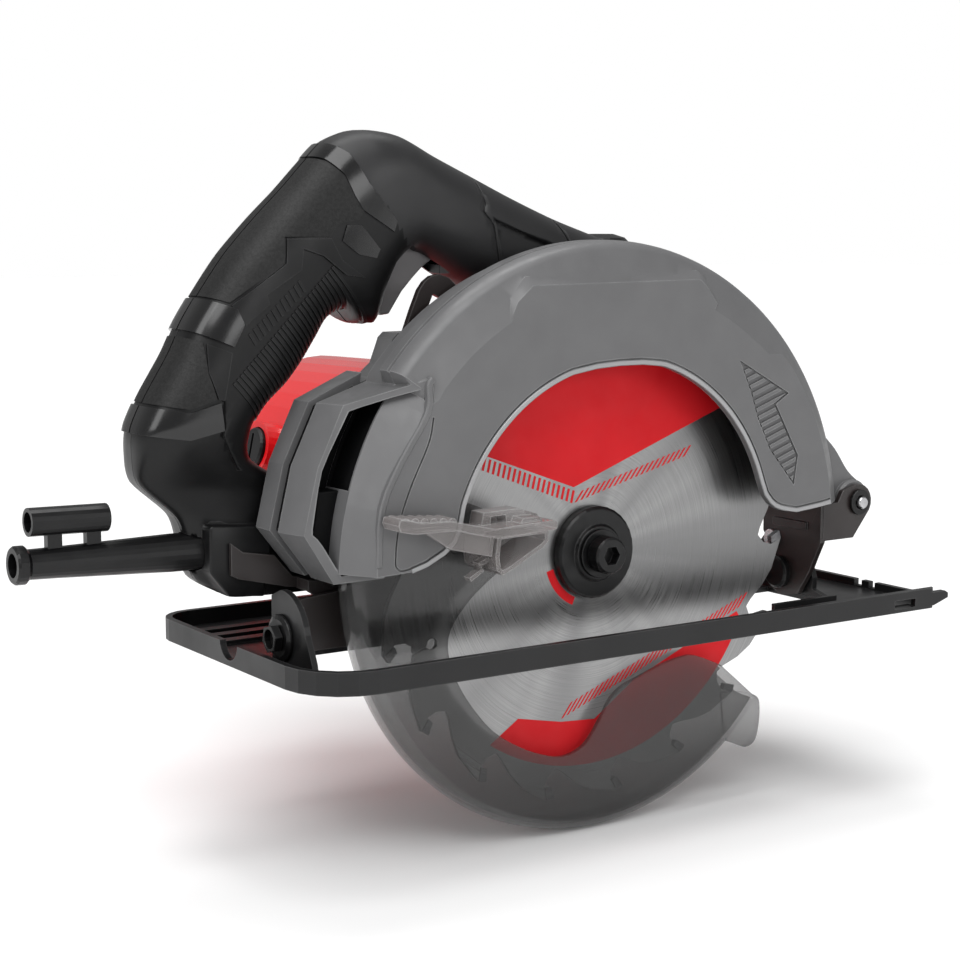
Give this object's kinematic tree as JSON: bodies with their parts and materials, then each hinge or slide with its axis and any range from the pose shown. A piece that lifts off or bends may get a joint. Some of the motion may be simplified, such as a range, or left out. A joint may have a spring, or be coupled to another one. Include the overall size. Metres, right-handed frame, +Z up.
{
  "type": "circular saw",
  "caption": "Corded circular saw with a D handle, a cast upper guard over a toothed blade, a smoked swinging lower guard and a tilting flat shoe.",
  "frame": {"origin": "a point on the underside of the shoe's wide left panel, straight below the arbor's fore-and-aft position", "axes": "+X forward along the cut, +Y towards the motor, +Z up away from the sole"},
  "size_m": [0.3468, 0.211, 0.2522],
  "materials": {
    "satin_cast_grey": "satin grey casting",
    "gloss_red_nylon": "glossy red nylon",
    "black_nylon": "black glass-filled nylon",
    "soft_black_rubber": "matte black rubber",
    "grey_trigger_plastic": "satin grey plastic",
    "smoked_polycarbonate": "smoked translucent polycarbonate",
    "clear_polycarbonate": "clear grey polycarbonate",
    "brushed_blade_steel": "steel brushed in circles",
    "bright_steel": "bright steel",
    "black_oxide_steel": "black oxide",
    "dark_painted_steel": "satin dark grey paint",
    "brown_black_painted_steel": "satin black paint",
    "copper_wire": "enamelled copper",
    "lamination_steel": "stacked laminations",
    "brush_carbon": "pressed carbon"
  },
  "bodies": {
    "saw_body": {"upper_guard": "satin_cast_grey", "gear_housing": "satin_cast_grey", "motor_housing": "gloss_red_nylon", "motor_end_cap": "black_nylon", "housing_screw_1": "black_oxide_steel", "housing_screw_2": "black_oxide_steel", "housing_screw_3": "black_oxide_steel", "housing_screw_4": "black_oxide_steel", "spindle_bearing_front": "bright_steel", "armature_bearing_front": "bright_steel", "armature_bearing_rear": "bright_steel", "stator_core": "lamination_steel", "field_winding_front": "copper_wire", "field_winding_rear": "copper_wire", "brush_1": "brush_carbon", "brush_2": "brush_carbon", "brush_cap_1": "black_nylon", "brush_cap_2": "black_nylon", "handle_right": "black_nylon", "handle_left": "black_nylon", "handle_screw_1": "black_oxide_steel", "handle_screw_2": "black_oxide_steel", "handle_screw_3": "black_oxide_steel", "front_handle": "black_nylon", "switch": "black_nylon", "cord_protector": "soft_black_rubber", "guard_return_spring": "bright_steel", "depth_lock_bolt": "bright_steel", "depth_lock_nut": "bright_steel"},
    "trigger_arm": {"trigger": "grey_trigger_plastic"},
    "lock_button": {"spindle_lock_button": "grey_trigger_plastic"},
    "blade_set": {"blade": "brushed_blade_steel", "outer_flange": "black_oxide_steel", "inner_flange": "bright_steel", "bolt_washer": "bright_steel", "blade_bolt": "black_oxide_steel", "spindle": "bright_steel", "spindle_gear": "bright_steel"},
    "armature": {"armature_shaft": "lamination_steel", "armature_pinion": "bright_steel", "armature_core": "lamination_steel", "commutator": "copper_wire", "cooling_fan": "black_nylon"},
    "swing_guard": {"lower_guard": "smoked_polycarbonate", "guard_lever": "clear_polycarbonate"},
    "depth_carriage": {"front_bracket": "brown_black_painted_steel", "front_pivot_pin": "bright_steel", "pivot_clip": "brown_black_painted_steel", "depth_arc": "brown_black_painted_steel", "front_bevel_rivet": "brown_black_painted_steel", "rear_bevel_bolt": "brown_black_painted_steel", "bevel_lock_bolt": "bright_steel"},
    "tilting_shoe": {"shoe": "dark_painted_steel", "rear_bevel_washer": "brown_black_painted_steel", "rear_bevel_nut": "black_oxide_steel"},
    "depth_lever": {"depth_lock_lever": "brown_black_painted_steel"},
    "bevel_knob": {"bevel_lock_knob": "brown_black_painted_steel"}
  },
  "joints": [
    {"name": "trigger_pull", "type": "hinge", "parent": "saw_body", "child": "trigger_arm", "pos_m": [-0.049, -0.012, 0.137], "axis": [0, 1, 0], "range_deg": [0, 11], "stiffness_Nm_per_rad": 0.3, "springref_deg": -20.05},
    {"name": "spindle_lock_press", "type": "slide", "parent": "saw_body", "child": "lock_button", "axis": [-1, 0, 0], "range_m": [0, 0.004], "stiffness_N_per_m": 400, "springref_m": -0.003},
    {"name": "blade_spin", "type": "hinge", "parent": "saw_body", "child": "blade_set", "pos_m": [0, -0.05, 0.0295], "axis": [0, 1, 0], "continuous": true},
    {"name": "armature_spin", "type": "hinge", "parent": "saw_body", "child": "armature", "pos_m": [-0.0215, -0.05, 0.049], "axis": [0, 1, 0], "continuous": true},
    {"name": "lower_guard_swing", "type": "hinge", "parent": "saw_body", "child": "swing_guard", "pos_m": [0, -0.05, 0.0295], "axis": [0, 1, 0], "range_deg": [0, 120], "stiffness_Nm_per_rad": 0.06, "springref_deg": -68.75},
    {"name": "depth_tilt", "type": "hinge", "parent": "saw_body", "child": "depth_carriage", "pos_m": [0.1213, -0.05, 0.0391], "axis": [0, -1, 0], "range_deg": [0, 30]},
    {"name": "bevel_tilt", "type": "hinge", "parent": "depth_carriage", "child": "tilting_shoe", "pos_m": [0, -0.04, 0.0102], "axis": [-1, 0, 0], "range_deg": [0, 45]},
    {"name": "depth_lock_swing", "type": "hinge", "parent": "saw_body", "child": "depth_lever", "pos_m": [-0.07283, -0.05, 0.0187], "axis": [0, -1, 0], "range_deg": [0, 15]},
    {"name": "bevel_lock_turn", "type": "hinge", "parent": "depth_carriage", "child": "bevel_knob", "pos_m": [0, -0.0355, 0.023], "axis": [1, 0, 0], "range_deg": [0, 60]}
  ],
  "couplings": [
    {"joint": "armature_spin", "follows": "blade_spin", "ratio": -4}
  ]
}
